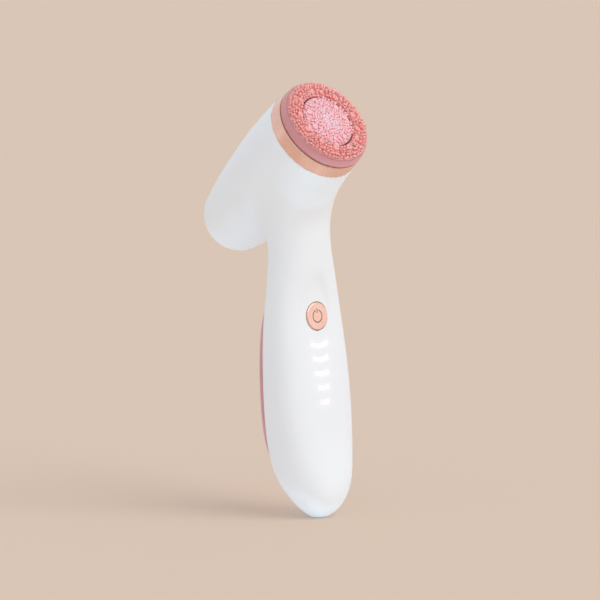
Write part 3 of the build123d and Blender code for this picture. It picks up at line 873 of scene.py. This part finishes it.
def plain_finish(
    name, colour, rough, metal=0.0, mottle=0.04, mottle_size=9.0, grain=0.3, relief=0.004, stretch=None,
):
    """Moulded, drawn or plated stock: soft mottling, uneven gloss and a fine surface grain."""
    finish = Finish(name)
    cloud = finish.noise(mottle_size, 3, stretch)
    fine = finish.noise(grain, 3, stretch)
    finish.set(
        colour=finish.mix(finish.span(cloud, 0, 1), shade(colour, 1 - mottle), shade(colour, 1 + mottle)),
        rough=finish.span(fine, rough * 0.85, rough * 1.15),
        metal=metal,
        normal=finish.bump(fine, relief),
    )
    return finish


def shell_finish():
    """Satin white shell: fine moulded texture, and the window light spreading a little in the plastic."""
    finish = Finish("shell_white")
    cloud = finish.noise(26, 2)
    fine = finish.noise(0.35, 2)
    glow = finish.node("ShaderNodeAttribute", attribute_name="glow").outputs["Fac"]
    finish.set(
        colour=finish.mix(finish.span(cloud, 0, 1), (0.84, 0.88, 0.92, 1), (0.86, 0.9, 0.94, 1)),
        rough=finish.span(fine, 0.34, 0.42),
        normal=finish.bump(fine, 0.002),
        glow=finish.math("MULTIPLY", glow, 0.045),
        glow_colour=(1.0, 1.0, 1.0, 1.0),
        specular=0.45,
    )
    return finish


def window_finish():
    """Milky clear plastic lit from behind, its glow a little uneven."""
    finish = Finish("window_white")
    cloud = finish.noise(3.5, 2)
    fine = finish.noise(0.3, 2)
    finish.set(
        colour=finish.mix(finish.span(cloud, 0, 1), (0.86, 0.87, 0.89, 1), (0.9, 0.9, 0.92, 1)),
        rough=finish.span(fine, 0.38, 0.46),
        normal=finish.bump(fine, 0.002),
        glow=finish.span(cloud, 0.1, 0.13),
        glow_colour=(1.0, 1.0, 1.0, 1.0),
    )
    return finish


def gold_finish():
    """Satin rose-gold plating with a barely uneven surface and cloudy gloss."""
    finish = Finish("rose_gold")
    cloud = finish.noise(7, 3)
    lines = finish.noise(1.6, 2)
    finish.set(
        colour=finish.mix(finish.span(cloud, 0, 1), (0.86, 0.52, 0.42, 1), (0.9, 0.58, 0.48, 1)),
        rough=finish.span(lines, 0.22, 0.3),
        metal=0.75,
        normal=finish.bump(lines, 0.0008),
        coat=0.15,
        coat_rough=0.25,
    )
    return finish


def from_mouth(finish):
    """Vector from the mouth's middle, in metres, as a node value."""
    away = finish.node("ShaderNodeVectorMath", operation="SUBTRACT")
    finish.feed(away.inputs[0], finish.place)
    finish.feed(away.inputs[1], tuple(MOUTH * MM))
    return away.outputs["Vector"]


def head_height(finish):
    """Distance ahead of the mouth, in mm, as a node value."""
    along = finish.node("ShaderNodeVectorMath", operation="DOT_PRODUCT")
    finish.feed(along.inputs[0], from_mouth(finish))
    finish.feed(along.inputs[1], tuple(AXIS / MM))
    return along.outputs["Value"]


def head_radius(finish, height):
    """Distance from the head's axis, in mm, as a node value."""
    reach = finish.node("ShaderNodeVectorMath", operation="LENGTH")
    finish.feed(reach.inputs[0], from_mouth(finish))
    far = finish.math("POWER", finish.math("DIVIDE", reach.outputs["Value"], MM), 2.0)
    ahead = finish.math("POWER", height, 2.0)
    return finish.math("SQRT", finish.math("MAXIMUM", finish.math("SUBTRACT", far, ahead), 0.0))


def silicone_finish(name, skin, root, tip, side, side_height, heart=None):
    """Soft silicone: painted shade darkens it between the nubs and it turns pale at their tips, with a dusky
    side wall and a faint bloom.
    heart is (colour, radius) of a paler middle.
    """
    finish = Finish(name)
    height = head_height(finish)
    cloud = finish.noise(4, 3)
    fine = finish.noise(0.22, 3)
    # Painted shade: from the darker root colour between the nubs to the pale tip colour 1.6 mm above the skin.
    root_shade_fade = finish.span(height, 0, 1, skin, skin + 1.6)
    ragged_root_shade = finish.math("ADD", root_shade_fade, finish.span(cloud, -0.15, 0.15))
    nub = finish.mix(ragged_root_shade, root, tip)
    if heart:
        colour, radius = heart
        pale = finish.span(head_radius(finish, height), 0.85, 0, 0, radius)
        nub = finish.mix(finish.math("MULTIPLY", pale, finish.span(cloud, 0.75, 1.0)), nub, colour)
    wall = finish.span(height, 0, 1, side_height[0], side_height[1])
    finish.set(
        colour=finish.mix(wall, side, nub),
        rough=finish.span(fine, 0.42, 0.55),
        normal=finish.bump(fine, 0.004),
        inside=0.5,
        inside_reach=(1.0, 0.4, 0.38),
        inside_scale=0.0014,
        sheen=0.25,
        sheen_rough=0.45,
    )
    return finish


def pad_finish():
    """Dusty pink soft-touch rubber with a fine leathery grain."""
    finish = Finish("pad_pink")
    cloud = finish.noise(14, 3)
    cell = 0.9 * MM
    cells = finish.node("ShaderNodeTexVoronoi", {"Vector": finish.place, "Scale": 1 / cell}, feature="F1")
    fine = finish.noise(0.2, 2)
    relief = finish.math("ADD", cells.outputs["Distance"], finish.math("MULTIPLY", fine, 0.4))
    finish.set(
        colour=finish.mix(finish.span(cloud, 0, 1), (0.62, 0.3, 0.36, 1), (0.7, 0.37, 0.42, 1)),
        rough=finish.span(fine, 0.5, 0.62),
        normal=finish.bump(relief, 0.02),
        sheen=0.3,
        sheen_rough=0.5,
    )
    return finish


def board_finish():
    """Green solder mask over faint tracks."""
    finish = Finish("board_green")
    grid = finish.node("ShaderNodeTexBrick", {
        "Vector": finish.place, "Scale": 160.0, "Color1": (0.03, 0.2, 0.08, 1),
        "Color2": (0.02, 0.16, 0.07, 1), "Mortar": (0.1, 0.36, 0.16, 1), "Mortar Size": 0.04,
    })
    fine = finish.noise(0.4, 2)
    finish.set(
        colour=grid.outputs["Color"],
        rough=finish.span(fine, 0.3, 0.42),
        normal=finish.bump(grid.outputs["Fac"], 0.02),
    )
    return finish


PLAIN = {
    "carrier_rose": dict(colour=(0.62, 0.3, 0.27), rough=0.45, mottle_size=5),
    "cover_grey": dict(colour=(0.34, 0.32, 0.32), rough=0.5, mottle_size=12),
    "frame_grey": dict(colour=(0.075, 0.08, 0.09), rough=0.55, mottle_size=12, grain=0.5, relief=0.01),
    "deck_white": dict(colour=(0.6, 0.6, 0.6), rough=0.5, mottle_size=8),
    "chip_black": dict(colour=(0.012, 0.012, 0.014), rough=0.5, mottle=0.2, mottle_size=2, grain=0.15),
    "cell_silver": dict(
        colour=(0.5, 0.51, 0.54), rough=0.3, metal=0.9, mottle_size=5, grain=1.5, relief=0.03,
    ),
    "seal_grey": dict(colour=(0.04, 0.04, 0.042), rough=0.7, mottle=0.1, mottle_size=3),
    "steel": dict(colour=(0.56, 0.57, 0.59), rough=0.28, metal=1.0, mottle_size=4, stretch=(1, 1, 0.1)),
    "magnet_dark": dict(colour=(0.12, 0.12, 0.13), rough=0.4, metal=0.8, mottle=0.1, mottle_size=3),
    "bronze": dict(
        colour=(0.45, 0.26, 0.09), rough=0.4, metal=0.9, mottle=0.1, mottle_size=1.2, grain=0.2,
    ),
    "copper": dict(
        colour=(0.5, 0.16, 0.06), rough=0.35, metal=0.9, mottle=0.12, mottle_size=0.8, stretch=(1, 1, 0.15),
    ),
    "contact_gold": dict(colour=(0.79, 0.5, 0.15), rough=0.25, metal=1.0, mottle_size=1),
    "wire_red": dict(colour=(0.33, 0.01, 0.008), rough=0.45, mottle=0.08, mottle_size=2),
}

FINISHES = {
    # Each root colour is darker than its tip colour: painted shade between the nubs.
    "silicone_coral": silicone_finish(
        "silicone_coral", SKIN_TOP, root=(0.88, 0.36, 0.34, 1), tip=(0.95, 0.45, 0.43, 1),
        side=(0.63, 0.28, 0.3, 1), side_height=(9.3, 11.0),
    ),
    "silicone_pink": silicone_finish(
        "silicone_pink", SKIN_TOP, root=(1.0, 0.52, 0.56, 1), tip=(1.0, 0.56, 0.6, 1),
        side=(0.95, 0.55, 0.6, 1), side_height=(9.5, 10.5), heart=((1.0, 0.7, 0.8, 1), 7.5),
    ),
    "shell_white": shell_finish(),
    "rose_gold": gold_finish(),
    "pad_pink": pad_finish(),
    "window_white": window_finish(),
    "board_green": board_finish(),
}
for name, look in PLAIN.items():
    FINISHES[name] = plain_finish(name, **look)


# ---------------------------------------------------------------- the studio
def face_camera(thing, back):
    thing.rotation_mode = "QUATERNION"
    thing.rotation_quaternion = Vector(back).to_track_quat("Z", "Y")


def add_camera():
    azimuth = math.radians(46.5)
    elevation = math.radians(8)
    target = Vector((-14.9, 3.3, 93.2)) * MM
    distance = 3.0
    back = Vector((
        math.sin(azimuth) * math.cos(elevation), -math.cos(azimuth) * math.cos(elevation), math.sin(elevation)
    ))
    camera = bpy.data.objects.new("camera", bpy.data.cameras.new("camera"))
    bpy.context.scene.collection.objects.link(camera)
    camera.location = target + back * distance
    face_camera(camera, back)
    camera.data.lens = 414
    camera.data.sensor_width = 36
    camera.data.clip_start = 0.05
    camera.data.clip_end = 200
    bpy.context.scene.camera = camera


def add_floor():
    half = 40.0
    corners = [(-half, -half, 0), (half, -half, 0), (half, half, 0), (-half, half, 0)]
    mesh = bpy.data.meshes.new("floor")
    mesh.from_pydata(corners, [], [(0, 1, 2, 3)])
    floor = bpy.data.objects.new("floor", mesh)
    bpy.context.scene.collection.objects.link(floor)
    floor.visible_shadow = False
    finish = Finish("floor_paper")
    finish.set(colour=(0.725, 0.566, 0.45, 1), rough=0.9, specular=0.1)
    mesh.materials.append(finish.material)


def add_sun(name, towards, strength, spread, colour):
    """Far soft light from a direction, its spread in degrees."""
    lamp = bpy.data.lights.new(name, "SUN")
    lamp.energy = strength
    lamp.angle = math.radians(spread)
    lamp.color = colour
    thing = bpy.data.objects.new(name, lamp)
    bpy.context.scene.collection.objects.link(thing)
    face_camera(thing, towards)


def add_lights():
    add_sun("key", (0.9, 0.25, 0.75), 0.85, 45, (1.0, 0.99, 0.97))
    add_sun("left_card", (-0.3, -0.9, -0.35), 0.3, 70, (0.8, 0.92, 0.98))
    add_sun("right_card", (0.73, 0.68, 0.05), 0.22, 50, (1.0, 1.0, 1.0))
    add_sun("under_card", (0.1, -0.1, -1.0), 1.9, 50, (0.5, 0.76, 0.96))
    world = bpy.data.worlds.new("studio")
    world.use_nodes = True
    world.node_tree.nodes["Background"].inputs["Color"].default_value = (0.93, 0.96, 1.0, 1)
    world.node_tree.nodes["Background"].inputs["Strength"].default_value = 0.84
    bpy.context.scene.world = world


def build():
    add_camera()
    add_floor()
    add_lights()
    shell = main_shell()
    add_glow(shell)
    made = {
        "shell_white": shell,
        "silicone_coral": outer_silicone(),
        "silicone_pink": disc_silicone(),
        "pad_pink": pad(),
        "seal_grey": button_mark(),
    }
    for slot, piece in made.items():
        piece.data.materials.clear()
        piece.data.materials.append(FINISHES[slot].material)
    for node in frame["nodes"].values():
        for place in node.material_slots:
            place.material = FINISHES[place.material.name.split(".")[0]].material
    bpy.context.scene.view_settings.view_transform = "Standard"


build()
